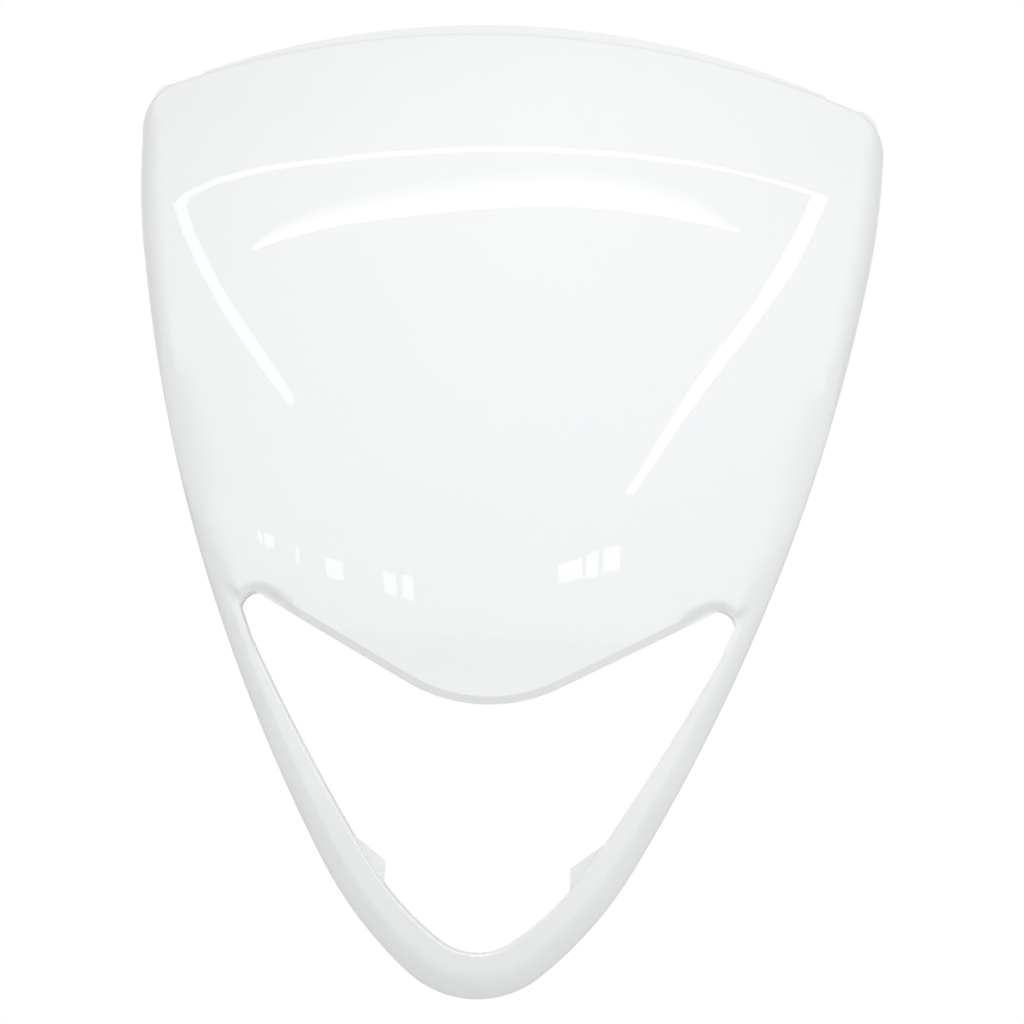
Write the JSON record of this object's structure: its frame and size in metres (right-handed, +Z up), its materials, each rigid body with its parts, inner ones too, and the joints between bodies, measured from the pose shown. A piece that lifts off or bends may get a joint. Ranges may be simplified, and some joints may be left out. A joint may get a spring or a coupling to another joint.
{
  "type": "front fairing panel",
  "caption": "Glossy white shield-shaped front fairing panel of a motor scooter, crowned, with rolled rims and a V-shaped opening between slim arms that meet in a rounded tip.",
  "frame": {"origin": "midway between the two screw holes of the upper ears, on the plane of the ears' seats", "axes": "+Z up as the panel is mounted, +Y to the rear of the vehicle, -Y is the glossy front, +X to the right seen from the front"},
  "size_m": [0.3642, 0.1542, 0.471],
  "materials": {
    "gloss_white": "high-gloss white moulded plastic"
  },
  "bodies": {
    "root": {"front_fairing_panel": "gloss_white"}
  },
  "joints": []
}
